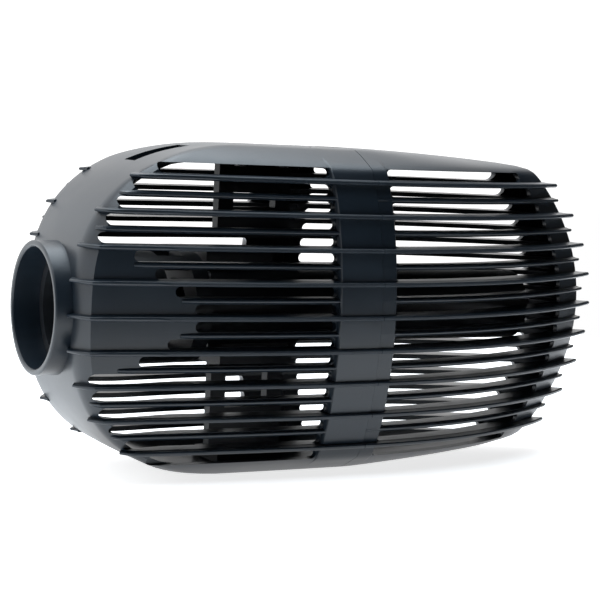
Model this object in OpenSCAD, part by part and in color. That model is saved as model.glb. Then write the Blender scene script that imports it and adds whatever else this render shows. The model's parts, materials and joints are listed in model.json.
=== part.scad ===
// Submersible pond and aquarium circulation pump in a two-part strainer cage.
// The outlet collar's rim is the YZ plane, the outlet axis is X, +X runs to the rear and +Z is up.

/* [Cage] */
// Vertical spacing of the main fins, with a minor fin midway
fin_pitch = 16; // [15.6:0.1:16.4]
// Half the width over the fins at the waist
half_width = 58; // [56:0.5:60]
// Half the height over the top and bottom strips
half_height = 80; // [79:0.5:81]
// Distance from the collar's rim to the seam between the two shells
seam_x = 156; // [155:0.5:157]
// Length of the rear shell's middle fin behind the seam
rear_length = 167; // [163:1:172]
// How far the main fins stand out of the shell wall
fin_depth = 5.5; // [4.5:0.5:6]
// Thickness of a main fin
main_fin_t = 3; // [2.6:0.1:3.2]
// Thickness of a minor fin
minor_fin_t = 2.6; // [2.2:0.1:2.8]
// Half the width of the smooth strip over the top, front and bottom
strip_half_w = 35; // [34:0.5:36]

/* [Outlet] */
// Outer radius of the outlet collar
collar_r = 31.5; // [31:0.25:32]
// Bore radius of the outlet collar
collar_bore_r = 28.5; // [28:0.25:28.75]
// Length of the collar's bore
collar_length = 14; // [13.5:0.25:14.5]

/* [Pump] */
// Bore radius of the outlet duct that the impeller runs in
duct_bore_r = 24; // [23.5:0.25:24.5]
// Outer radius of the outlet duct
duct_r = 27; // [26.5:0.25:27.25]
// Number of impeller blades
blade_count = 4; // [3:1:5]
// Radius of the rotor shaft
shaft_r = 2.5; // [2.25:0.05:2.75]
// Outer radius of the motor housing
motor_r = 20.5; // [20.25:0.05:20.75]

/* [Release lever] */
// Half the width of the release lever
lever_half_w = 8.5; // [7.5:0.5:9]

/* [Hidden] */
$fn = 64;

part_gap = 0.3;                   // air gap between parts on different bodies
slot_pitch = fin_pitch / 2;
fin_rows = 8;                     // rows of fins above and below the middle one
overlap = 0.4;                    // how far neighbouring layers run into each other
wall_t = 4;                       // shell wall
minor_inset = 3;                  // a minor fin's edge inside a main fin's
band_inset = 3.5;                 // the waist band's face inside the main fins' edge
band_front_x = 133;
band_rear_x = 165;
side_r = 177;                     // radius of the cage's side in cross-section
dome_r = 120;                     // radius of the cage's top and bottom in cross-section
keel_flat = 1;                    // depth of the flat on the bottom strip
taper_z = 118;                    // height at which the rear fins would shrink to nothing
tip_inset = 9;                    // the rear wall inside the main fins' tips
front_center_x = 110;             // where the front of the side profile meets the straight top
front_face_x = 5;                 // the cage's front face behind the collar's rim
rear_cap_length = 31;             // closed rear end, measured from the fin tips
reach = 200;                      // larger than the half cage in any direction
lip_inset = fin_depth + wall_t + 2.3;  // the lip inside the rear shell's wall
lip_t = 2.2;                      // thickness of the lip
shoulder_z = slot_pitch * (fin_rows + 1) + 2;  // solid shoulder above the last slots
profile_steps = 18;               // points on one quarter of the side profile

// pump stations along X
flange_x = collar_length;
flange_t = 3;
flange_r = 37;
seal_in_r = duct_r + 2.8;
seal_out_r = duct_r + 4.6;
vane_x = 26;
impeller_x = 42;
impeller_l = 13;
intake_x = 58;
motor_x = 77;
duct_ring_t = 5;
motor_l = 191;
motor_end_x = motor_x + motor_l;
motor_wall = 2;
tail_x = 134;                     // where the housing narrows behind the stator
tail_r = 18;
board = [100, 29, 1.6];           // length, width and thickness of the driver board
board_x = 146;
well_r = 11.2;
well_wall = 0.8;
well_end_x = 128;
magnet_r = 9.8;
magnet_x = 86;
magnet_l = 36;
stator_x = 90;
stator_l = 28;
winding_l = 5.5;
bushing_r = 5;
shaft_clearance = 0.04;
hub_r = 9;
screw_r = 1.5;
screw_head_r = 2.8;
screw_head_t = 2;
duct_screw_r = 34;
motor_screw_r = 23.6;
gland_r = 6;
gland_stem_r = 4.5;
terminal_box = [36, 18, 28];         // length, width and top of the box over the motor
terminal_box_x = 84;
post_x = 92;                      // front of the cradle's and bracket's posts
post_w = 8;
post_l = 39;                      // length of the cradle and the bracket along X
post_t = 6;
plate_l = post_l - 5;             // base plates of the cradle and the bracket
plate_z = half_height - 9;        // inner face of a base plate
plate_t = 4.5;
bracket_screw_l = 9;

// release lever stations
lever_pin_x = 150;
lever_z = 76;
lever_front_x = 128;
lever_end_x = seam_x - 0.5;
lever_t = 2.5;
pin_r = 1.25;
ear_t = 3;
top_slot = [46, 28, 12.6];            // start in X, length and width of the slot along the top

function half_w(z) = half_width - side_r + sqrt(side_r * side_r - z * z);
function tip_x(z) = seam_x + rear_length * sqrt(1 - pow(z / taper_z, 2));
// X of the front face at a height, on a superellipse that is square enough to hold the collar
front_power = 2.6;
rear_power = 3.2;
front_len = front_center_x - front_face_x;
rear_len = rear_length - tip_inset;
function front_x(z) = front_center_x
    - front_len * pow(max(0, 1 - pow(min(1, abs(z) / half_height), front_power)), 1 / front_power);
function slot_front_x(z) = abs(z) < 36 ? 20 + (36 - abs(z)) / 0.64 : 20 + (abs(z) - 36) * 0.85;
function slot_rear_x(z) = tip_x(z) - rear_cap_length;
function quarter(a, b, n) = [for (i = [0 : profile_steps])
    let (t = 90 * i / profile_steps) [a * pow(sin(t), 2 / n), b * pow(cos(t), 2 / n)]];
function mirrored(p) = concat(p, [for (i = [len(p) - 2 : -1 : 0]) [p[i].x, -p[i].y]]);

// ---- shared 2-D outlines ----

// lens between two arcs through (x_end, half_end), widest (half_mid) at the seam
module lens(half_mid, length, half_end) {
    drop = half_mid - half_end;
    r = (length * length + drop * drop) / (2 * drop);
    intersection() {
        translate([seam_x, half_mid - r]) circle(r, $fn = 360);
        translate([seam_x, r - half_mid]) circle(r, $fn = 360);
    }
}

module front_plan(z, inset, x0) {
    h = half_w(z);
    intersection() {
        lens(h - inset, seam_x, 0.75 * h - inset);
        translate([x0, -reach]) square([seam_x - x0, 2 * reach]);
    }
}

module rear_plan(z, inset) {
    nose = inset * tip_inset / fin_depth;
    intersection() {
        lens(half_w(z) - inset, tip_x(z) - seam_x - nose, 0);
        translate([seam_x + part_gap, -reach]) square([2 * reach, 2 * reach]);
    }
}

// side profiles in X and Z, inset by d
module front_profile(d) {
    p = mirrored(quarter(front_len - d, half_height - d, front_power));
    union() {
        translate([front_center_x, 0]) polygon([for (q = p) [-q.x, q.y]]);
        translate([front_center_x - 1, d - half_height])
            square([seam_x - front_center_x + 1, 2 * (half_height - d)]);
    }
}

module rear_profile(d) {
    translate([seam_x, 0]) polygon(mirrored(quarter(rear_len - d, half_height - d, rear_power)));
}

// cross-section in Y and Z
module section(side_inset, top_inset) {
    intersection() {
        translate([half_width - side_inset - side_r, 0]) circle(side_r, $fn = 360);
        translate([side_r + side_inset - half_width, 0]) circle(side_r, $fn = 360);
        translate([0, half_height - top_inset - dome_r]) circle(dome_r, $fn = 360);
        translate([0, dome_r - half_height + top_inset]) circle(dome_r, $fn = 360);
    }
}

// ---- shared solids ----

module along_x(x0, x1) {
    translate([x0, 0, 0]) rotate([90, 0, 90]) linear_extrude(x1 - x0) children();
}

module across_y(half) {
    translate([0, half, 0]) rotate([90, 0, 0]) linear_extrude(2 * half) children();
}

module tube_x(x0, x1, r_out, r_in) {
    translate([x0, 0, 0]) rotate([0, 90, 0]) difference() {
        cylinder(h = x1 - x0, r = r_out);
        translate([0, 0, -1]) cylinder(h = x1 - x0 + 2, r = r_in);
    }
}

module rod_x(x0, x1, r) {
    translate([x0, 0, 0]) rotate([0, 90, 0]) cylinder(h = x1 - x0, r = r);
}

module layer(z, t) {
    translate([0, 0, z - t / 2]) linear_extrude(t) children();
}

module around_x(count, r, start = 0) {
    for (i = [0 : count - 1])
        rotate([start + 360 * i / count, 0, 0]) translate([0, 0, r]) children();
}

// pan-head screw with its head at x and its tip towards -X
module screw_x(x, length, r = screw_r, head_r = screw_head_r) {
    rod_x(x - length, x + 0.01, r);
    rod_x(x, x + screw_head_t, head_r);
}

module band_ring(x0, x1) {
    along_x(x0, x1) difference() {
        section(band_inset, 0.5);
        section(band_inset + fin_depth, 5);
    }
}

// keeps the bottom strip flat where the cage stands, and the top domed
module dome_cut(x0, x1) {
    along_x(x0, x1) intersection() {
        section(0, 0);
        translate([-reach, keel_flat - half_height]) square([2 * reach, 2 * reach]);
    }
}

// ---- strainer cage ----

module front_fin(z, t, inset) {
    x0 = front_x(abs(z) + t / 2) + 0.5;
    layer(z, t) difference() {
        front_plan(z, inset, x0);
        front_plan(z, fin_depth + wall_t, x0 + wall_t);
        // opens the ring at the seam
        translate([seam_x - 1, -half_w(z) + fin_depth + wall_t])
            square([2, 2 * (half_w(z) - fin_depth - wall_t)]);
    }
}

module front_wall(z) {
    t = slot_pitch - minor_fin_t + overlap;
    x0 = front_x(abs(z) + t / 2) + 0.7;
    layer(z, t) intersection() {
        difference() {
            front_plan(z, fin_depth, x0);
            front_plan(z, fin_depth + wall_t - 0.3, x0 + wall_t - 0.3);
        }
        translate([0, -reach]) square([slot_front_x(z), 2 * reach]);
    }
}

module front_strip() {
    across_y(strip_half_w) difference() {
        front_profile(0);
        front_profile(wall_t);
        translate([seam_x - 1, wall_t - half_height]) square([2, 2 * (half_height - wall_t)]);
    }
}

module front_fins() {
    for (i = [-fin_rows : fin_rows])
        front_fin(i * slot_pitch, i % 2 == 0 ? main_fin_t : minor_fin_t, i % 2 == 0 ? 0 : minor_inset);
}

module front_walls() {
    for (i = [-fin_rows : fin_rows - 1]) front_wall((i + 0.5) * slot_pitch);
}

// waist band, the spigot lip that the rear shell slides over, and the outlet duct's seat
module front_band() {
    band_ring(band_front_x, seam_x);
    along_x(seam_x - 6, seam_x) difference() {
        section(band_inset + fin_depth - 0.5, 4.5);
        section(lip_inset + lip_t, 8);
    }
    along_x(seam_x - 6, seam_x + 7) difference() {
        section(lip_inset, 5 + part_gap);
        section(lip_inset + lip_t, 8);
    }
    tube_x(front_face_x + 1, flange_x, flange_r, collar_bore_r);
}

module front_body() intersection() {
    union() {
        front_fins();
        front_walls();
        front_strip();
        front_band();
        for (s = [-1, 1]) front_fin(s * shoulder_z, slot_pitch, minor_inset);
    }
    dome_cut(0, seam_x + 10);
}

// ears that carry the lever's pin
module lever_ears() {
    for (s = [-1, 1])
        translate([lever_pin_x - 3, s * (lever_half_w + 0.5 + ear_t / 2) - ear_t / 2, 68])
            cube([6, ear_t, 10]);
}

// outlet opening, duct seat, top slot, lever notch and screw pilots
module front_cuts() {
    rod_x(-1, flange_x + 1, collar_r - 0.5);
    translate([lever_front_x - 1, -lever_half_w - 0.5, half_height - 12])
        cube([60, 2 * lever_half_w + 1, 20]);
    rod_x(flange_x, flange_x + flange_t + 1, flange_r + 0.2);
    translate([top_slot.x, -top_slot.z / 2, half_height - 18]) cube([top_slot.y, top_slot.z, 20]);
    duct_screw_places() rod_x(flange_x - 4, flange_x + 1, screw_r);
    bracket_screw_places() cylinder(h = bracket_screw_l + 0.2, r = screw_r);
    pin_y(pin_r);
}

module front_shell() color("#1b222b") {
    difference() {
        front_body();
        front_cuts();
    }
    tube_x(0, flange_x, collar_r, collar_bore_r);
    difference() {
        lever_ears();
        pin_y(pin_r);
    }
}

module rear_fin(z, t, inset) {
    layer(z, t) difference() {
        rear_plan(z, inset);
        rear_plan(z, fin_depth + wall_t);
        translate([seam_x - 1, -half_w(z) + fin_depth + wall_t])
            square([2, 2 * (half_w(z) - fin_depth - wall_t)]);
    }
}

module rear_wall(z) {
    layer(z, slot_pitch - minor_fin_t + overlap) intersection() {
        difference() {
            rear_plan(z, fin_depth);
            rear_plan(z, fin_depth + wall_t - 0.3);
        }
        translate([slot_rear_x(z), -reach]) square([reach, 2 * reach]);
    }
}

module rear_strip() {
    intersection() {
        across_y(strip_half_w) difference() {
            rear_profile(0);
            rear_profile(wall_t);
            translate([seam_x - 1, -reach]) square([1 + part_gap, 2 * reach]);
        }
        translate([0, 0, -reach]) linear_extrude(2 * reach)
            lens(strip_half_w + 1, rear_length + 4, 0);
    }
}

module rear_fins() {
    for (i = [-fin_rows : fin_rows])
        rear_fin(i * slot_pitch, i % 2 == 0 ? main_fin_t : minor_fin_t, i % 2 == 0 ? 0 : minor_inset);
    for (s = [-1, 1]) rear_fin(s * shoulder_z, slot_pitch, minor_inset);
}

module rear_walls() {
    for (i = [-fin_rows : fin_rows - 1]) rear_wall((i + 0.5) * slot_pitch);
}

module rear_body() intersection() {
    union() {
        rear_fins();
        rear_walls();
        rear_strip();
        band_ring(seam_x + part_gap, band_rear_x);
    }
    dome_cut(seam_x, seam_x + rear_length + 10);
}

module rear_shell() color("#1b222b") rear_body();

module pin_y(r) {
    length = 2 * (lever_half_w + 0.5 + ear_t);
    translate([lever_pin_x, length / 2, lever_z - 4]) rotate([90, 0, 0]) cylinder(h = length, r = r);
}

// press lever whose nub lies in the notch at the top of the waist band
module release_lever() color("#232a33") {
    difference() {
        union() {
            translate([lever_front_x, -lever_half_w, lever_z])
                cube([lever_end_x - lever_front_x, 2 * lever_half_w, lever_t]);
            translate([lever_pin_x, lever_half_w, lever_z - 4]) rotate([90, 0, 0])
                cylinder(h = 2 * lever_half_w, r = 3);
            translate([lever_pin_x - 2, -lever_half_w, lever_z - 4]) cube([4, 2 * lever_half_w, 5]);
            // grip ridges on the nub
            for (i = [0 : 3])
                translate([lever_front_x + 2 + 4 * i, -lever_half_w + 1, lever_z + 1])
                    cube([2, 2 * lever_half_w - 2, 3]);
        }
        pin_y(pin_r + 0.05);
    }
}

module lever_pin() color("silver") pin_y(pin_r);

// ---- pump ----

module duct_screw_places() around_x(4, duct_screw_r, 45) children();

module motor_screw_places() around_x(4, motor_screw_r, 45) children();

module outlet_duct() color("#20262e") {
    difference() {
        union() {
            tube_x(flange_x, motor_x, duct_r, duct_bore_r);
            tube_x(flange_x, flange_x + flange_t, flange_r, duct_bore_r);
            tube_x(motor_x - duct_ring_t, motor_x, duct_r, 14);
        }
        // intake windows
        for (i = [0 : 5])
            rotate([60 * i, 0, 0]) translate([intake_x, -9, 18])
                cube([motor_x - duct_ring_t - intake_x, 18, 12]);
        duct_screw_places() rod_x(flange_x - 1, flange_x + flange_t + 1, screw_r + 0.2);
        motor_screw_places() rod_x(motor_x - duct_ring_t + 0.5, motor_x + 1, 1.1);
        // groove for the motor seal
        tube_x(motor_x - 1, motor_x + 1, 20, 17.5);
        // groove for the duct seal
        tube_x(flange_x - 1, flange_x + 1, seal_out_r, seal_in_r);
    }
    // guide vanes and the front bearing's hub
    difference() {
        union() {
            rod_x(vane_x, vane_x + 12, 8);
            translate([vane_x, 0, 0]) rotate([0, -90, 0]) cylinder(h = 8, r1 = 8, r2 = 3);
            for (i = [0 : 4])
                rotate([72 * i, 0, 0]) translate([vane_x + 1, -1, 6]) cube([10, 2, duct_bore_r - 5.2]);
        }
        rod_x(vane_x + 4, vane_x + 13, bushing_r);
        rod_x(vane_x + 2, vane_x + 13, shaft_r + 0.5);
    }
}

module duct_seal() color("#111111") tube_x(flange_x, flange_x + 1, seal_out_r, seal_in_r);

module duct_screws() color("silver")
    duct_screw_places() screw_x(flange_x + flange_t, flange_t + 3);

module impeller() color("#3b4856") {
    difference() {
        union() {
            rod_x(impeller_x, impeller_x + impeller_l, hub_r);
            rod_x(vane_x + 13, impeller_x, bushing_r);
            intersection() {
                tube_x(impeller_x - 2, impeller_x + impeller_l + 2, duct_bore_r - 0.5, hub_r - 1);
                for (i = [0 : blade_count - 1])
                    rotate([360 * i / blade_count, 0, 0])
                        translate([impeller_x + impeller_l / 2, 0, 0]) rotate([0, 0, 38])
                            translate([-11, -1, hub_r - 2]) cube([22, 2, duct_bore_r]);
            }
        }
        rod_x(vane_x + 12, impeller_x + impeller_l + 1, shaft_r);
    }
}

module impeller_cap() color("#3b4856")
    tube_x(impeller_x + impeller_l, impeller_x + impeller_l + 4, 6, shaft_r);

module shaft() color("ivory") rod_x(vane_x + 5, well_end_x - 1, shaft_r);

module bushing(x0, x1) tube_x(x0, x1, bushing_r, shaft_r + shaft_clearance);

module front_bushing() color("dimgray") bushing(vane_x + 4, vane_x + 11);

module rear_bushing() color("dimgray") bushing(well_end_x - 5, well_end_x);

module front_thrust_washer() color("white")
    tube_x(vane_x + 12, vane_x + 13, bushing_r - 0.5, shaft_r);

module rear_thrust_washer() color("white")
    tube_x(magnet_x + magnet_l, magnet_x + magnet_l + 0.7, bushing_r - 0.5, shaft_r);

module rotor_magnet() color("#4a4a4a") tube_x(magnet_x, magnet_x + magnet_l, magnet_r, shaft_r);

module rotor_well() color("#2a3036") {
    difference() {
        union() {
            rod_x(motor_x + 3, well_end_x + 2, well_r);
            rod_x(motor_x + 3, motor_x + 5, motor_r - motor_wall);
        }
        rod_x(motor_x, well_end_x - 5, well_r - well_wall);
        rod_x(motor_x, well_end_x, bushing_r);
    }
}

module stator_core() color("#8a8d90") tube_x(stator_x, stator_x + stator_l, motor_r - motor_wall, well_r);

module windings() color("#b3672b") {
    tube_x(stator_x - winding_l, stator_x, motor_r - 4, well_r + 0.5);
    tube_x(stator_x + stator_l, stator_x + stator_l + winding_l, motor_r - 4, well_r + 0.5);
}

module motor_housing() color("#181e25") {
    difference() {
        union() {
            rod_x(motor_x, tail_x, motor_r);
            rod_x(tail_x - 0.01, motor_end_x - 4, tail_r);
            rod_x(motor_x, motor_x + 3, duct_r);
            translate([terminal_box_x, -terminal_box.y / 2, 0]) cube([terminal_box.x, terminal_box.y, terminal_box.z]);
        }
        rod_x(motor_x + 3, tail_x - motor_wall, motor_r - motor_wall);
        rod_x(tail_x - motor_wall - 1, motor_end_x, tail_r - motor_wall);
        rod_x(motor_x - 1, motor_x + 4, well_r);
        motor_screw_places() rod_x(motor_x - 1, motor_x + 4, 1.1);
        end_screw_places() rod_x(motor_end_x - 12, motor_end_x, 1);
        // wire way into the terminal box
        translate([terminal_box_x + 5, -6, 14]) cube([terminal_box.x - 10, 12, 12]);
    }
}

module motor_screws() color("silver")
    motor_screw_places() screw_x(motor_x + 3, 7, 1.1, 2.2);

module motor_seal() color("#111111") tube_x(motor_x - 1, motor_x, 20, 17.5);

module end_screw_places() around_x(3, tail_r - 1.1, 60) children();

// drives the windings; it stands in the housing's tail
module driver_board() color("#1f5a3a")
    translate([board_x, -board.y / 2, -board.z / 2]) cube(board);

module motor_end_cap() color("#181e25") {
    difference() {
        union() {
            rod_x(motor_end_x - 4, motor_end_x, tail_r);
            rod_x(motor_end_x - 7, motor_end_x, tail_r - motor_wall - 1.5);
        }
        rod_x(motor_end_x - 8, motor_end_x - 3, tail_r - motor_wall - 4);
        rod_x(motor_end_x - 4, motor_end_x + 1, gland_stem_r);
        end_screw_places() rod_x(motor_end_x - 5, motor_end_x + 1, 1);
    }
}

module end_cap_screws() color("silver") end_screw_places() screw_x(motor_end_x, 10, 1, 1.1);

// gland that the mains lead would leave through
module cable_gland() color("#111111") {
    difference() {
        union() {
            rod_x(motor_end_x - 3, motor_end_x, gland_stem_r);
            rod_x(motor_end_x, motor_end_x + 3, gland_r);
            translate([motor_end_x + 3, 0, 0]) rotate([0, 90, 0])
                cylinder(h = 8, r1 = gland_r - 0.8, r2 = gland_r - 1.6);
        }
        rod_x(motor_end_x - 4, motor_end_x + 12, 3.2);
    }
}

// ---- inner frame ----

module bracket_screw_places() {
    for (x = [post_x + 8, post_x + plate_l - 3])
        for (y = [-9, 9]) {
            translate([x, y, plate_z - screw_head_t]) children();
            translate([x, y, screw_head_t - plate_z]) mirror([0, 0, 1]) children();
        }
}

module post_frame(z_low, z_high, bar_low, bar_high) {
    for (x = [post_x, post_x + post_l - post_w])
        translate([x, -post_t / 2, z_low]) cube([post_w, post_t, z_high - z_low]);
    translate([post_x, -post_t / 2, z_low]) cube([post_l, post_t, bar_low]);
    translate([post_x, -post_t / 2, z_high - bar_high]) cube([post_l, post_t, bar_high]);
}

module lower_cradle() color("#20262e") {
    difference() {
        union() {
            post_frame(-72, -26, 22, 5);
            translate([post_x, -14, -plate_z - plate_t]) cube([plate_l, 28, plate_t]);
            translate([post_x, -12, -28]) cube([post_l, 24, 14]);
        }
        rod_x(post_x - 1, post_x + post_l + 1, motor_r + 1.5);
        bracket_screw_places() translate([0, 0, -5]) cylinder(h = 12, r = screw_r + 0.2);
    }
}

module cradle_pad() color("#111111") {
    intersection() {
        tube_x(post_x + 1, post_x + post_l - 1, motor_r + 1.5, motor_r);
        translate([post_x, -11, -motor_r - 5]) cube([post_l, 22, 14]);
    }
}

module upper_bracket() color("#20262e") {
    difference() {
        union() {
            post_frame(37, 72, 12, 16);
            translate([post_x, -14, plate_z]) cube([plate_l, 28, plate_t]);
        }
        bracket_screw_places() translate([0, 0, -5]) cylinder(h = 12, r = screw_r + 0.2);
    }
}

module bracket_screws() color("silver")
    bracket_screw_places() {
        cylinder(h = bracket_screw_l, r = screw_r);
        cylinder(h = screw_head_t, r = screw_head_r);
    }

front_shell();
rear_shell();
release_lever();
lever_pin();
outlet_duct();
duct_seal();
duct_screws();
impeller();
impeller_cap();
shaft();
front_bushing();
rear_bushing();
front_thrust_washer();
rear_thrust_washer();
rotor_magnet();
rotor_well();
stator_core();
windings();
motor_housing();
motor_screws();
motor_seal();
driver_board();
motor_end_cap();
end_cap_screws();
cable_gland();
lower_cradle();
cradle_pad();
upper_bracket();
bracket_screws();
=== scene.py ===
"""Looks of the submersible circulation pump: detailed cage shells, a release lever and procedural plastics.
"""
import json
import math

import bmesh
import bpy
from mathutils import Matrix, Vector


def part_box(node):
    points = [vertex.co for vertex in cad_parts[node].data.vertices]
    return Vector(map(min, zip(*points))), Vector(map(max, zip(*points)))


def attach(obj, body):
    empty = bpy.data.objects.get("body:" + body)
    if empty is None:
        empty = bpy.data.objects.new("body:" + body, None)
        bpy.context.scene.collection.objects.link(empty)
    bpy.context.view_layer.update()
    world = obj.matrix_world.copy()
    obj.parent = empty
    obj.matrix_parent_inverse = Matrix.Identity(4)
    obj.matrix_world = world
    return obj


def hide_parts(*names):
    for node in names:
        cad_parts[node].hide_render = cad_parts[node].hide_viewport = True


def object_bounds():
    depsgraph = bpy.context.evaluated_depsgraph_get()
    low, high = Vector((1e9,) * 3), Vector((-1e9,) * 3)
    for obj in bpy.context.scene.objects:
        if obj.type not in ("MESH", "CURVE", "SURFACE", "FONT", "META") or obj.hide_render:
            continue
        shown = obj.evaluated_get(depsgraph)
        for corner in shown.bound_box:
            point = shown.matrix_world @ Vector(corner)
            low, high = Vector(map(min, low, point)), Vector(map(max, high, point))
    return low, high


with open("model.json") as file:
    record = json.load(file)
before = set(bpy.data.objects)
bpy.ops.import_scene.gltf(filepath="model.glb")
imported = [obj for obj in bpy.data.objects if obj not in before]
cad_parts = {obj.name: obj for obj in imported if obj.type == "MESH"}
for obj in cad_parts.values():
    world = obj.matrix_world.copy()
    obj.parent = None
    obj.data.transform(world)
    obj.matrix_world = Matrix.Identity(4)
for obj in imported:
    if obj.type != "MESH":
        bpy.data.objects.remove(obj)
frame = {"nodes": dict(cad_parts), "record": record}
nodes = frame["nodes"]
cad_low, cad_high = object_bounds()
MM = 0.001

# ---------------------------------------------------------------- driving sizes, in millimetres
front_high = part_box("front_shell")[1]
rear_low, rear_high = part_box("rear_shell")
FIN_PITCH = 16.0
SLOT_PITCH = FIN_PITCH / 2
FIN_ROWS = 8                                  # fins above and below the middle one
HALF_HEIGHT = front_high.z / MM
HALF_WIDTH = rear_high.y / MM
KEEL_Z = cad_low.z / MM                       # flat that the cage stands on
SEAM_X = float(round(rear_low.x / MM))        # the waist seam
REAR_END = rear_high.x / MM                   # tip of the middle fin
PART_GAP = 0.3                                # between the two shells at the seam
WALL = 3.3                                    # shell wall
FIN_DEPTH = 5.5                               # a main fin stands this far out of the wall
TIP_DEPTH = 9.0                               # and this far at its rear tip
MINOR_DEPTH = 2.6                             # a minor fin's depth
FIN_START, FIN_GROWS_X = 0.58, 100.0          # share of its depth at a fin's front, full after this length
FRONT_FACE_X = 7.5                            # front face behind the collar's rim
STRAIGHT_X = 110.0                            # the top strip is level from here to the seam
FRONT_POWER = 2.6                             # squareness of the front's superellipse
TOP_SLOPE_X, TOP_SLOPE_Z = 111.0, 5.6         # behind the seam the top falls 5.6 over a length of 111
TOP_SLOPE_POWER = 0.62
REAR_BLEND = 12                               # sharpness of the turn from the top into the rear end
SIDE_R = 177.0                                # radius of the cage's side in cross-section
TAPER_Z = 118.0                               # height at which the rear fins would shrink to nothing
STRIP_HALF = 31.0                             # half width of the smooth strip, as wide as the collar
CORNER_X = 5.5                                # length of the flat corner beside the strip
STRIP_BOW = 0.8                               # how far the strip curves back at its edges
SHOULDER = 9.0                                # height of the sloped shoulder below the top strip
TOP_HALF = 20.0                               # half width of the level top
TOP_ROUND = 0.6                               # height over which the level top's edge rounds in
FRONT_NARROW = 0.25                           # how much narrower the cage is at its front face
SLOT_H = 5.0
PANEL_LOW, PANEL_HIGH = -26, 30               # between these heights the slots start further back
SLOT_SIDE_FRONT, SLOT_SIDE_REAR = 29.5, 8.0   # the slots cut the walls outside this half width
TOP_SLOT_X, TOP_SLOT_END, TOP_SLOT_HALF = 46.0, 74.0, 6.3
BAND_FRONT, BAND_REAR = 133.0, 165.0
PLATE_DEPTH, PLATE_X = 7.0, 30.0              # the fins reach this far inside the wall, from here back
PLATE_GROWS_X, PLATE_FADE_Y = 25.0, 20.0      # lengths over which that reach grows and fades at the tip
BAND_RAISE = 3.1                              # the waist band stands this far out of the wall
REAR_STEP = 0.4                               # the rear shell's band lies this much lower
REAR_CAP = 31.0                               # closed rear end, measured from the fin tips
COLLAR_R, BORE_R, COLLAR_END = 31.5, 28.5, 13.9
SEAT_X, SEAT_R = 9.0, 35.0                    # ring inside the front wall that the outlet duct bolts to
NOTCH_X, NOTCH_HALF, NOTCH_Z = 127.0, 9.0, 68.0                   # opening for the release lever
LEVER_T, RIDGE_H = 2.5, 1.5
BEYOND = 90.0                                 # larger than the half height and the half width


def half_width(z):
    """Half width over the main fins at the seam, at height z."""
    return HALF_WIDTH - SIDE_R + math.sqrt(SIDE_R ** 2 - z * z)


def tip_x(z):
    return SEAM_X + (REAR_END - SEAM_X) * math.sqrt(max(0.0, 1 - (z / TAPER_Z) ** 2))


def profile(z, height, power):
    """1 at mid height, falling to 0 at the top and bottom on a superellipse."""
    return max(0.0, 1 - min(1.0, abs(z) / height) ** power) ** (1 / power)


def front_x(z, inset=0.0):
    reach = STRAIGHT_X - FRONT_FACE_X - inset
    return STRAIGHT_X - reach * profile(z, HALF_HEIGHT - inset, FRONT_POWER)


def rear_x(z, inset=0.0):
    """Rear end of the wall at height z: the tips' curve, rounded into the gently falling top."""
    below = max(HALF_HEIGHT - inset - abs(z), 1e-9)
    tip = tip_x(z) - TIP_DEPTH - SEAM_X - 1.4 * inset
    slope = TOP_SLOPE_X * (below / TOP_SLOPE_Z) ** TOP_SLOPE_POWER
    return SEAM_X + (tip ** -REAR_BLEND + slope ** -REAR_BLEND) ** (-1 / REAR_BLEND)


def wall_half(z, inset=0.0):
    """Half width of the wall at the seam; a sloped shoulder closes over the top and bottom."""
    height = HALF_HEIGHT - inset
    below = max(0.0, height - abs(z))
    edge = SHOULDER - 0.5 * inset
    top = TOP_HALF - 0.5 * inset
    if below >= edge:
        return half_width(z) - FIN_DEPTH - inset
    full = half_width(height - edge) - FIN_DEPTH - inset
    if below <= TOP_ROUND:
        return top * math.sqrt(below / TOP_ROUND)
    return top + (full - top) * ((below - TOP_ROUND) / (edge - TOP_ROUND)) ** 0.8


def side_y(x, z, inset=0.0):
    """Half width of the wall at x and height z, from the front corner to the rear tip."""
    half = wall_half(z, inset)
    if x <= SEAM_X:
        return half * (1 - FRONT_NARROW * ((SEAM_X - x) / SEAM_X) ** 2)
    end = rear_x(z, inset)
    share = min(1.0, (x - SEAM_X) / max(end - SEAM_X, 1e-6))
    length = REAR_END - TIP_DEPTH - SEAM_X
    widest = HALF_WIDTH - FIN_DEPTH
    radius = (length ** 2 + widest ** 2) / (2 * widest)
    return half / widest * (math.sqrt(radius ** 2 - (share * length) ** 2) - radius + widest)


FLAT_STEPS, CORNER_STEPS, SIDE_STEPS, REAR_STEPS = 8, 3, 24, 36


def half_contour(z, inset=0.0):
    """Points from the front centre round the -Y side to the rear tip, at height z."""
    x0, x1 = front_x(z, inset), rear_x(z, inset)
    corner_x = min(x0 + CORNER_X, SEAM_X - 2)
    corner_y = side_y(corner_x, z, inset)
    strip = min(STRIP_HALF - 0.4 * inset, 0.93 * corner_y)
    strip_x = x0 + STRIP_BOW
    pts = [(x0 + STRIP_BOW * (i / FLAT_STEPS) ** 2, strip * i / FLAT_STEPS) for i in range(FLAT_STEPS)]
    for i in range(CORNER_STEPS):
        share = i / CORNER_STEPS
        pts.append((strip_x + (corner_x - strip_x) * share, strip + (corner_y - strip) * share ** 0.8))
    for i in range(SIDE_STEPS):
        x = corner_x + (SEAM_X - corner_x) * i / SIDE_STEPS
        pts.append((x, side_y(x, z, inset)))
    for i in range(REAR_STEPS + 1):
        x = SEAM_X + (x1 - SEAM_X) * math.sin(math.pi / 2 * i / REAR_STEPS)
        pts.append((x, side_y(x, z, inset)))
    pts[-1] = (x1, 0.0)
    return [(x, -y) for x, y in pts]


# ---------------------------------------------------------------- mesh helpers

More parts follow.
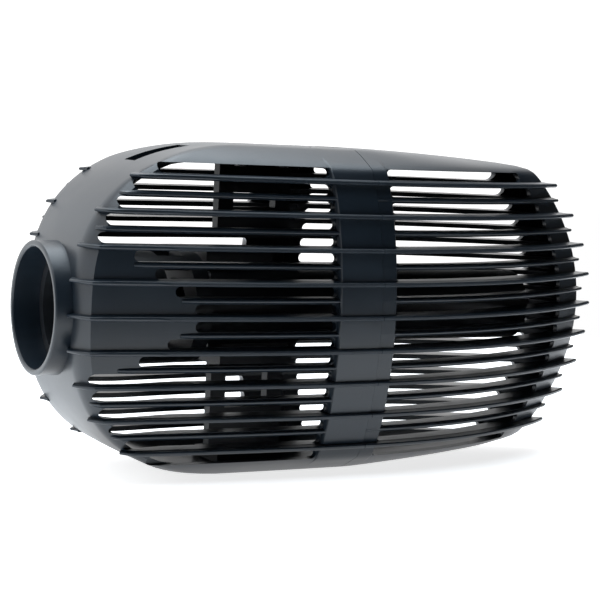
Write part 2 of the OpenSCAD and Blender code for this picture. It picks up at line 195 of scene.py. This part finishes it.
def new_object(name, verts, faces):
    mesh = bpy.data.meshes.new(name)
    mesh.from_pydata([Vector(v) * MM for v in verts], [], faces)
    bm = bmesh.new()
    bm.from_mesh(mesh)
    bmesh.ops.remove_doubles(bm, verts=bm.verts, dist=1e-7)
    bmesh.ops.dissolve_degenerate(bm, edges=bm.edges, dist=1e-7)
    bmesh.ops.recalc_face_normals(bm, faces=bm.faces)
    bm.to_mesh(mesh)
    bm.free()
    obj = bpy.data.objects.new(name, mesh)
    bpy.context.scene.collection.objects.link(obj)
    return obj


def loft(name, rings, closed=False):
    """Closed solid through rings of the same number of points; its ends are capped unless closed."""
    n = len(rings[0])
    verts = [p for ring in rings for p in ring]
    faces = []
    spans = len(rings) if closed else len(rings) - 1
    for i in range(spans):
        a, b = i * n, (i + 1) % len(rings) * n
        for j in range(n):
            k = (j + 1) % n
            faces.append((a + j, a + k, b + k, b + j))
    if not closed:
        faces.append(tuple(range(n)))
        faces.append(tuple(range((len(rings) - 1) * n, len(rings) * n)))
    return new_object(name, verts, faces)


def revolve_x(name, outline, steps=96):
    """Solid of revolution about X from a closed outline of (x, radius) points."""
    rings = []
    for i in range(steps):
        c, s = math.cos(2 * math.pi * i / steps), math.sin(2 * math.pi * i / steps)
        rings.append([(x, r * c, r * s) for x, r in outline])
    return loft(name, rings, closed=True)


def block(name, low, high):
    (x0, y0, z0), (x1, y1, z1) = low, high
    return loft(name, [[(x, y0, z0), (x, y1, z0), (x, y1, z1), (x, y0, z1)] for x in (x0, x1)])


def apply_modifier(obj, modifier):
    with bpy.context.temp_override(object=obj, active_object=obj, selected_objects=[obj]):
        bpy.ops.object.modifier_apply(modifier=modifier.name)


def boolean(obj, others, operation):
    """Joins, cuts or trims obj with each closed solid in others, which are then removed."""
    for other in others:
        modifier = obj.modifiers.new("boolean", "BOOLEAN")
        modifier.operation = operation
        modifier.solver = "MANIFOLD"
        modifier.object = other
        apply_modifier(obj, modifier)
        bpy.data.meshes.remove(other.data)
    return obj


def merged(name, objects):
    """One object holding several solids that don't touch each other."""
    bm = bmesh.new()
    for obj in objects:
        bm.from_mesh(obj.data)
        bpy.data.meshes.remove(obj.data)
    mesh = bpy.data.meshes.new(name)
    bm.to_mesh(mesh)
    bm.free()
    obj = bpy.data.objects.new(name, mesh)
    bpy.context.scene.collection.objects.link(obj)
    return obj


def shade(obj, angle=32):
    mesh = obj.data
    bm = bmesh.new()
    bm.from_mesh(mesh)
    bmesh.ops.remove_doubles(bm, verts=bm.verts, dist=2e-6)
    for face in bm.faces:
        face.smooth = True
    for edge in bm.edges:
        sharp = len(edge.link_faces) != 2 or edge.calc_face_angle(0.0) > math.radians(angle)
        edge.smooth = not sharp
    bm.to_mesh(mesh)
    bm.free()
    modifier = obj.modifiers.new("weighted", "WEIGHTED_NORMAL")
    modifier.keep_sharp = True
    modifier.weight = 80
    return obj


# ---------------------------------------------------------------- cage solids

def wall_solid(name, inset=0.0, levels=64):
    """The cage without fins, as a closed solid built of level outlines."""
    rings = []
    height = HALF_HEIGHT - inset
    for i in range(levels + 1):
        z = height * math.sin(math.pi * (i / levels - 0.5))
        side = half_contour(z, inset)
        ring = [(x, y, z) for x, y in side] + [(x, -y, z) for x, y in reversed(side[1:-1])]
        rings.append(ring)
    n = len(rings[0])
    verts = [p for ring in rings for p in ring]
    faces = [
        (i * n + j, i * n + (j + 1) % n, (i + 1) * n + (j + 1) % n, (i + 1) * n + j)
        for i in range(levels) for j in range(n)
    ]
    return new_object(name, verts, faces)


def offset_path(path):
    """Outward unit normals along a level path that runs from the front to the rear on the -Y side."""
    normals = []
    for i in range(len(path)):
        ax, ay = path[max(0, i - 1)]
        bx, by = path[min(len(path) - 1, i + 1)]
        length = math.hypot(bx - ax, by - ay) or 1.0
        normals.append(((by - ay) / length, -(bx - ax) / length))
    return normals


def fin(name, z, is_main):
    """Plate fin that starts at one front corner, runs round the rear tip and ends at the other corner."""
    path = half_contour(z)
    normals = offset_path(path)
    normals[-1] = (1.0, 0.0)
    depth = FIN_DEPTH if is_main else MINOR_DEPTH
    tip = TIP_DEPTH if is_main else MINOR_DEPTH * 1.4
    root_t, blade_t, edge_t = (3.1, 2.3, 1.9) if is_main else (2.9, 1.8, 1.4)
    start = FLAT_STEPS - 1
    if not is_main:
        start = next(i for i, (x, y) in enumerate(path) if i > FLAT_STEPS and x > slot_front_x(z) - 5)
    sections = []
    for i in range(start, len(path)):
        (px, py), (nx, ny) = path[i], normals[i]
        back = px - path[start][0]
        d = depth * (FIN_START + (1 - FIN_START) * min(1.0, back / FIN_GROWS_X))
        if i == start:
            d = 0.5
        if i == len(path) - 1:
            d = tip
        thin = 0.7 + 0.3 * min(1.0, back / 8.0)
        plate = PLATE_DEPTH * min(1.0, max(0.0, px - PLATE_X) / PLATE_GROWS_X) * min(1.0, -py / PLATE_FADE_Y)
        root = -0.9 * WALL - plate
        outline = [
            (root, root_t - 0.6), (-WALL, root_t), (0.0, root_t),
            (0.2 * d, 0.5 * (root_t + blade_t)), (0.45 * d, blade_t),
            (0.94 * d - 0.3, edge_t + 0.1), (0.94 * d, 0.8 * edge_t), (d, 0.4 * edge_t),
        ]
        if root > -WALL:
            outline[1] = (0.5 * root, root_t - 0.2)
        upper = [(px + nx * o, py + ny * o, z + t * thin / 2) for o, t in outline]
        lower = [(px + nx * o, py + ny * o, z - t * thin / 2) for o, t in reversed(outline)]
        sections.append(upper + lower)
    mirrored = [[(x, -y, zz) for x, y, zz in section] for section in reversed(sections[:-1])]
    return loft(name, sections + mirrored)


def band_loop(x, raised, count=96):
    """Closed cross-section of the wall at x, standing out on the sides and level at the top and bottom."""
    loop = []
    for i in range(count):
        angle = 2 * math.pi * (i + 0.5) / count
        z = (HALF_HEIGHT - 0.1) * math.sin(angle)
        side = 1 if math.cos(angle) > 0 else -1
        fade = max(0.0, 1 - (abs(z) / (HALF_HEIGHT - 0.7 * SHOULDER)) ** 10)
        loop.append((x, side * (side_y(x, z) + raised * fade), z))
    return loop


def band_solid(name, x0, x1, raised):
    """Waist band with bevelled edges."""
    stations = [(x0, -0.2), (x0 + 0.4, 0.75 * raised), (x0 + 1.0, raised),
                (x1 - 1.0, raised), (x1 - 0.4, 0.75 * raised), (x1, -0.2)]
    return loft(name, [band_loop(x, height) for x, height in stations])


def slot_cutter(name, x0, x1, z, side, y_from):
    """Stadium-ended bar that cuts one slot through one side wall."""
    radius = SLOT_H / 2
    outline = []
    for i in range(13):
        angle = math.pi / 2 + math.pi * i / 12
        outline.append((x0 + radius + radius * math.cos(angle), z + radius * math.sin(angle)))
    for i in range(13):
        angle = -math.pi / 2 + math.pi * i / 12
        outline.append((x1 - radius + radius * math.cos(angle), z + radius * math.sin(angle)))
    ys = (side * y_from, side * 80.0)
    return loft(name, [[(x, y, zz) for x, zz in outline] for y in ys])


def slot_front_x(z):
    """The slots start beside the strip above and below the collar, and further back beside the collar."""
    if PANEL_LOW < z < PANEL_HIGH:
        return 68.0 - 1.6 * abs(z) if z < 0 else 66.0 - 1.2 * z
    return front_x(z) + 4.0


def slot_rows():
    """Heights midway between neighbouring fins."""
    return [(i + 0.5) * SLOT_PITCH for i in range(-FIN_ROWS - 1, FIN_ROWS + 1)]


def fins(name):
    """Main fins on the even rows, minor fins midway."""
    rows = range(-FIN_ROWS, FIN_ROWS + 1)
    return [fin(f"{name}_{i + FIN_ROWS}", i * SLOT_PITCH, i % 2 == 0) for i in rows]


def cage(name, fin_name, band_raised):
    """Hollow shell with fins and waist band, before it is cut into halves and slotted."""
    shell = wall_solid(name)
    boolean(shell, [band_solid("band", BAND_FRONT, BAND_REAR, band_raised)], "UNION")
    boolean(shell, [wall_solid("cavity", WALL)], "DIFFERENCE")
    return boolean(shell, fins(fin_name), "UNION")


def slots(y_from, ends):
    """All the slot cutters of one shell, both sides; ends(z) gives a row's first and last X."""
    cutters = []
    for z in slot_rows():
        x0, x1 = ends(z)
        cutters += [slot_cutter("slot", x0, x1, z, side, y_from) for side in (-1, 1)]
    return merged("slots", cutters)


def front_cage():
    """Front shell with the outlet's opening, the slots, the lever's notch and the collar."""
    shell = cage("front_cage", "front_fin", BAND_RAISE)
    front_half = block("front_half", (-20, -BEYOND, KEEL_Z), (SEAM_X, BEYOND, BEYOND))
    boolean(shell, [front_half], "INTERSECT")
    bore = revolve_x("bore", [(-5.0, 0.001), (-5.0, BORE_R + 1), (20.0, BORE_R + 1), (20.0, 0.001)])
    top_slot = block("top_slot", (TOP_SLOT_X, -TOP_SLOT_HALF, 60), (TOP_SLOT_END, TOP_SLOT_HALF, BEYOND))
    notch = block("notch", (NOTCH_X, -NOTCH_HALF, NOTCH_Z), (190.0, NOTCH_HALF, BEYOND))
    row_slots = slots(SLOT_SIDE_FRONT, lambda z: (slot_front_x(z), BAND_FRONT))
    boolean(shell, [row_slots, bore, top_slot, notch], "DIFFERENCE")
    outer = [(0.0, COLLAR_R - 1.0), (0.2, COLLAR_R - 0.45), (0.8, COLLAR_R)]
    inner = [(0.8, BORE_R), (0.2, BORE_R + 0.45), (0.0, BORE_R + 1.0)]
    seat_outline = [(SEAT_X, SEAT_R), (COLLAR_END, SEAT_R), (COLLAR_END, BORE_R), (SEAT_X, BORE_R)]
    seat = revolve_x("seat", seat_outline)
    boolean(seat, [wall_solid("inside", 1.0)], "INTERSECT")
    collar = revolve_x("collar", outer + [(COLLAR_END, COLLAR_R), (COLLAR_END, BORE_R)] + inner)
    return boolean(shell, [collar, seat], "UNION")


def rear_cage():
    """Rear shell, open at the seam and slotted behind the waist band."""
    shell = cage("rear_cage", "rear_fin", BAND_RAISE - REAR_STEP)
    rear_half = block("rear_half", (SEAM_X + PART_GAP, -BEYOND, KEEL_Z), (400, BEYOND, BEYOND))
    boolean(shell, [rear_half], "INTERSECT")
    row_slots = slots(SLOT_SIDE_REAR, lambda z: (BAND_REAR, tip_x(z) - REAR_CAP))
    return boolean(shell, [row_slots], "DIFFERENCE")


# ---------------------------------------------------------------- release lever

def rod_y(name, x, z, radius, half, steps=48):
    """Round bar along Y."""
    turns = [2 * math.pi * i / steps for i in range(steps)]
    circle = [(x + radius * math.cos(a), z + radius * math.sin(a)) for a in turns]
    return loft(name, [[(cx, y, cz) for cx, cz in circle] for y in (-half, half)])


def grip_plate(name, low, high, corner):
    """Plate whose top edges are bevelled all round and whose free end is rounded in plan."""
    rings = []
    foot = [(low.z, 0.3), (low.z + 0.3, 0.0)]
    bevel = [(high.z - 0.8, 0.0), (high.z - 0.25, 0.35), (high.z, 0.9)]
    for z, inset in foot + bevel:
        ring = [(high.x - inset, high.y - inset, z), (high.x - inset, low.y + inset, z)]
        for side, turn in ((-1, range(9)), (1, range(8, -1, -1))):
            for i in turn:
                angle = math.pi / 2 * i / 8
                x = low.x + corner - (corner - inset) * math.sin(angle)
                y = side * (high.y - corner + (corner - inset) * math.cos(angle))
                ring.append((x, y, z))
        rings.append(ring)
    return loft(name, rings)


def lever():
    """Press lever: a bevelled plate with rounded grip ridges, a web and the barrel that its pin runs in."""
    low, high = (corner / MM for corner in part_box("release_lever"))
    pin_low, pin_high = (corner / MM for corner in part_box("lever_pin"))
    pin = (pin_low + pin_high) / 2
    top = high.z - RIDGE_H
    piece = grip_plate("lever", Vector((low.x, low.y, top - LEVER_T)), Vector((high.x, high.y, top)), 4.0)
    ridge_r, ridge_half = RIDGE_H + 0.15, high.y - 2.2
    ridges = [rod_y("ridge", low.x + 3.2 + 4 * i, top - 0.2, ridge_r, ridge_half) for i in range(4)]
    web = block("web", (pin.x - 2, low.y, pin.z), (pin.x + 2, high.y, top - 1))
    barrel = rod_y("barrel", pin.x, pin.z, pin.z - low.z, high.y)
    boolean(piece, ridges + [web, barrel], "UNION")
    pin_hole = rod_y("pin_hole", pin.x, pin.z, pin_high.z - pin.z + 0.05, 2 * high.y)
    return boolean(piece, [pin_hole], "DIFFERENCE")


# ---------------------------------------------------------------- materials

def plastic(name, color, roughness, grain=900.0, bump=0.12, spread=0.08, edge=0.35):
    """Moulded plastic: fine grain, faint mottling, slow roughness drift and lighter worn edges."""
    material = bpy.data.materials.new(name)
    material.use_nodes = True
    tree = material.node_tree
    shader = tree.nodes["Principled BSDF"]
    coords = tree.nodes.new("ShaderNodeTexCoord")
    mottle = tree.nodes.new("ShaderNodeTexNoise")
    mottle.inputs["Scale"].default_value = 34.0
    mottle.inputs["Detail"].default_value = 4.0
    tree.links.new(coords.outputs["Object"], mottle.inputs["Vector"])
    ramp = tree.nodes.new("ShaderNodeValToRGB")
    ramp.color_ramp.elements[0].position = 0.3
    ramp.color_ramp.elements[0].color = [c * (1 - spread * 2) for c in color] + [1]
    ramp.color_ramp.elements[1].position = 0.75
    ramp.color_ramp.elements[1].color = [c * (1 + spread * 2) for c in color] + [1]
    tree.links.new(mottle.outputs["Fac"], ramp.inputs["Fac"])
    geometry = tree.nodes.new("ShaderNodeNewGeometry")
    wear = tree.nodes.new("ShaderNodeMapRange")
    wear.inputs["From Min"].default_value = 0.54
    wear.inputs["From Max"].default_value = 0.70
    wear.inputs["To Max"].default_value = edge
    tree.links.new(geometry.outputs["Pointiness"], wear.inputs["Value"])
    mix = tree.nodes.new("ShaderNodeMix")
    mix.data_type = "RGBA"
    mix.inputs["B"].default_value = [min(1.0, c * 3.0 + 0.01) for c in color] + [1]
    tree.links.new(wear.outputs["Result"], mix.inputs["Factor"])
    tree.links.new(ramp.outputs["Color"], mix.inputs["A"])
    tree.links.new(mix.outputs["Result"], shader.inputs["Base Color"])
    drift = tree.nodes.new("ShaderNodeMapRange")
    drift.inputs["To Min"].default_value = roughness - 0.06
    drift.inputs["To Max"].default_value = roughness + 0.08
    tree.links.new(mottle.outputs["Fac"], drift.inputs["Value"])
    tree.links.new(drift.outputs["Result"], shader.inputs["Roughness"])
    fine = tree.nodes.new("ShaderNodeTexNoise")
    fine.inputs["Scale"].default_value = grain
    fine.inputs["Detail"].default_value = 2.0
    tree.links.new(coords.outputs["Object"], fine.inputs["Vector"])
    relief = tree.nodes.new("ShaderNodeBump")
    relief.inputs["Strength"].default_value = bump
    relief.inputs["Distance"].default_value = 0.0002
    tree.links.new(fine.outputs["Fac"], relief.inputs["Height"])
    tree.links.new(relief.outputs["Normal"], shader.inputs["Normal"])
    return material


def dress(obj, material):
    obj.data.materials.clear()
    obj.data.materials.append(material)
    return obj


cage_plastic = plastic("cage_plastic", (0.0070, 0.0125, 0.0195), 0.34)
pump_plastic = plastic("pump_plastic", (0.008, 0.010, 0.013), 0.46)
impeller_plastic = plastic("impeller_plastic", (0.020, 0.030, 0.042), 0.34)
rubber = plastic("seal_rubber", (0.006, 0.006, 0.006), 0.62, grain=1500.0, bump=0.2, edge=0.1)
steel = plastic("stainless", (0.42, 0.43, 0.44), 0.30, bump=0.04)
steel.node_tree.nodes["Principled BSDF"].inputs["Metallic"].default_value = 1.0
ceramic = plastic("ceramic", (0.62, 0.60, 0.54), 0.22, bump=0.03, spread=0.02, edge=0.0)
ferrite = plastic("magnet", (0.030, 0.030, 0.032), 0.55)
laminations = plastic("core_steel", (0.30, 0.30, 0.31), 0.42)
laminations.node_tree.nodes["Principled BSDF"].inputs["Metallic"].default_value = 1.0
copper = plastic("copper", (0.40, 0.14, 0.05), 0.35)
copper.node_tree.nodes["Principled BSDF"].inputs["Metallic"].default_value = 1.0
board = plastic("board", (0.010, 0.070, 0.030), 0.40, grain=300.0, spread=0.15, edge=0.1)
FINISH = {
    "cage_plastic": cage_plastic, "pump_plastic": pump_plastic, "impeller_plastic": impeller_plastic,
    "seal_rubber": rubber, "stainless": steel, "ceramic": ceramic, "magnet": ferrite,
    "core_steel": laminations, "copper": copper, "board": board,
}
for part in frame["record"]["subparts"]:
    dress(nodes[part["node"]], FINISH[part["material_slot"]])


# ---------------------------------------------------------------- pieces

def place(piece, body, slot, *replaced):
    dress(piece, FINISH[slot])
    shade(piece)
    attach(piece, body)
    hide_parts(*replaced)


place(front_cage(), "pump", "cage_plastic", "front_shell")
place(rear_cage(), "rear_cage", "cage_plastic", "rear_shell")
place(lever(), "release_lever", "cage_plastic", "release_lever")

# ---------------------------------------------------------------- camera, floor and light

scene = bpy.context.scene
camera = bpy.data.objects.new("camera", bpy.data.cameras.new("camera"))
scene.collection.objects.link(camera)
camera.data.lens = 103.1
camera.data.sensor_width = 36.0
camera.data.clip_start = 0.01
CAMERA_AT = Vector((-0.2692, -0.7548, 0.0901))
AZIMUTH, ELEVATION, ROLL = math.radians(28.53), math.radians(5.81), math.radians(2.72)
forward = Vector((math.sin(AZIMUTH) * math.cos(ELEVATION), math.cos(AZIMUTH) * math.cos(ELEVATION),
                  -math.sin(ELEVATION)))
level = Vector((math.cos(AZIMUTH), -math.sin(AZIMUTH), 0))
upright = level.cross(forward)
right = level * math.cos(ROLL) + upright * math.sin(ROLL)
up = upright * math.cos(ROLL) - level * math.sin(ROLL)
camera.matrix_world = Matrix.Translation(CAMERA_AT) @ Matrix(
    (right, up, -forward)).transposed().to_4x4()
scene.camera = camera

floor_material = bpy.data.materials.new("floor")
floor_material.use_nodes = True
floor_shader = floor_material.node_tree.nodes["Principled BSDF"]
floor_shader.inputs["Base Color"].default_value = (0.86, 0.86, 0.86, 1)
floor_shader.inputs["Roughness"].default_value = 0.9
floor_shader.inputs["Emission Color"].default_value = (1, 1, 1, 1)
painted_floor_glow = floor_material.node_tree.nodes.new("ShaderNodeMapRange")      # painted light: the floor glows, growing bright with distance, and its glow also lights the cage from below
painted_floor_glow.inputs["From Min"].default_value = 0.45
painted_floor_glow.inputs["From Max"].default_value = 1.4
painted_floor_glow.inputs["To Min"].default_value = 0.75
painted_floor_glow.inputs["To Max"].default_value = 1.0
floor_place = floor_material.node_tree.nodes.new("ShaderNodeNewGeometry")
reach = floor_material.node_tree.nodes.new("ShaderNodeVectorMath")
reach.operation = "LENGTH"
floor_material.node_tree.links.new(floor_place.outputs["Position"], reach.inputs[0])
floor_material.node_tree.links.new(reach.outputs["Value"], painted_floor_glow.inputs["Value"])
floor_material.node_tree.links.new(painted_floor_glow.outputs["Result"], floor_shader.inputs["Emission Strength"])
TABLE = [(-900, -400), (650, -400), (650, 600), (-900, 600)]      # corners of the white table, in X and Y
SKY_TINT = (0.78, 0.90, 1.0)
floor = new_object("floor", [(x, y, KEEL_Z) for x, y in TABLE], [(0, 1, 2, 3)])
dress(floor, floor_material)


def softbox(name, at, target, size, power):
    light = bpy.data.lights.new(name, "AREA")
    light.color = SKY_TINT
    light.shape = "RECTANGLE"
    light.size, light.size_y = size
    light.energy = power
    lamp = bpy.data.objects.new(name, light)
    scene.collection.objects.link(lamp)
    lamp.location = at
    lamp.rotation_euler = (Vector(target) - Vector(at)).to_track_quat("-Z", "Y").to_euler()


MIDDLE = (0.16, 0.0, 0.0)
softbox("top", (0.05, 0.15, 1.3), MIDDLE, (1.8, 1.2), 27)
softbox("back_left", (-1.0, 1.5, 0.7), MIDDLE, (1.6, 1.8), 4)
softbox("front_left", (-1.4, 0.0, 0.3), MIDDLE, (0.8, 1.0), 0.6)

# studio walls: bright behind the cage, dim in front of it and to its rear end
world = bpy.data.worlds.new("studio")
scene.world = world
world.use_nodes = True
sky = world.node_tree
background = sky.nodes["Background"]
background.inputs["Color"].default_value = (1, 1, 1, 1)
coords = sky.nodes.new("ShaderNodeTexCoord")
toward_back = sky.nodes.new("ShaderNodeVectorMath")
toward_back.operation = "DOT_PRODUCT"
toward_back.inputs[1].default_value = (-0.5, 1.0, 0.5)
sky.links.new(coords.outputs["Generated"], toward_back.inputs[0])
room = sky.nodes.new("ShaderNodeMapRange")
room.interpolation_type = "SMOOTHSTEP"
room.inputs["From Min"].default_value = 0.15
room.inputs["From Max"].default_value = 0.62
room.inputs["To Min"].default_value = 0.03
room.inputs["To Max"].default_value = 1.4
sky.links.new(toward_back.outputs["Value"], room.inputs["Value"])
path = sky.nodes.new("ShaderNodeLightPath")
seen = sky.nodes.new("ShaderNodeMath")
seen.operation = "MAXIMUM"
sky.links.new(room.outputs["Result"], seen.inputs[0])
sky.links.new(path.outputs["Is Camera Ray"], seen.inputs[1])
sky.links.new(seen.outputs["Value"], background.inputs["Strength"])
scene.view_settings.view_transform = "Standard"
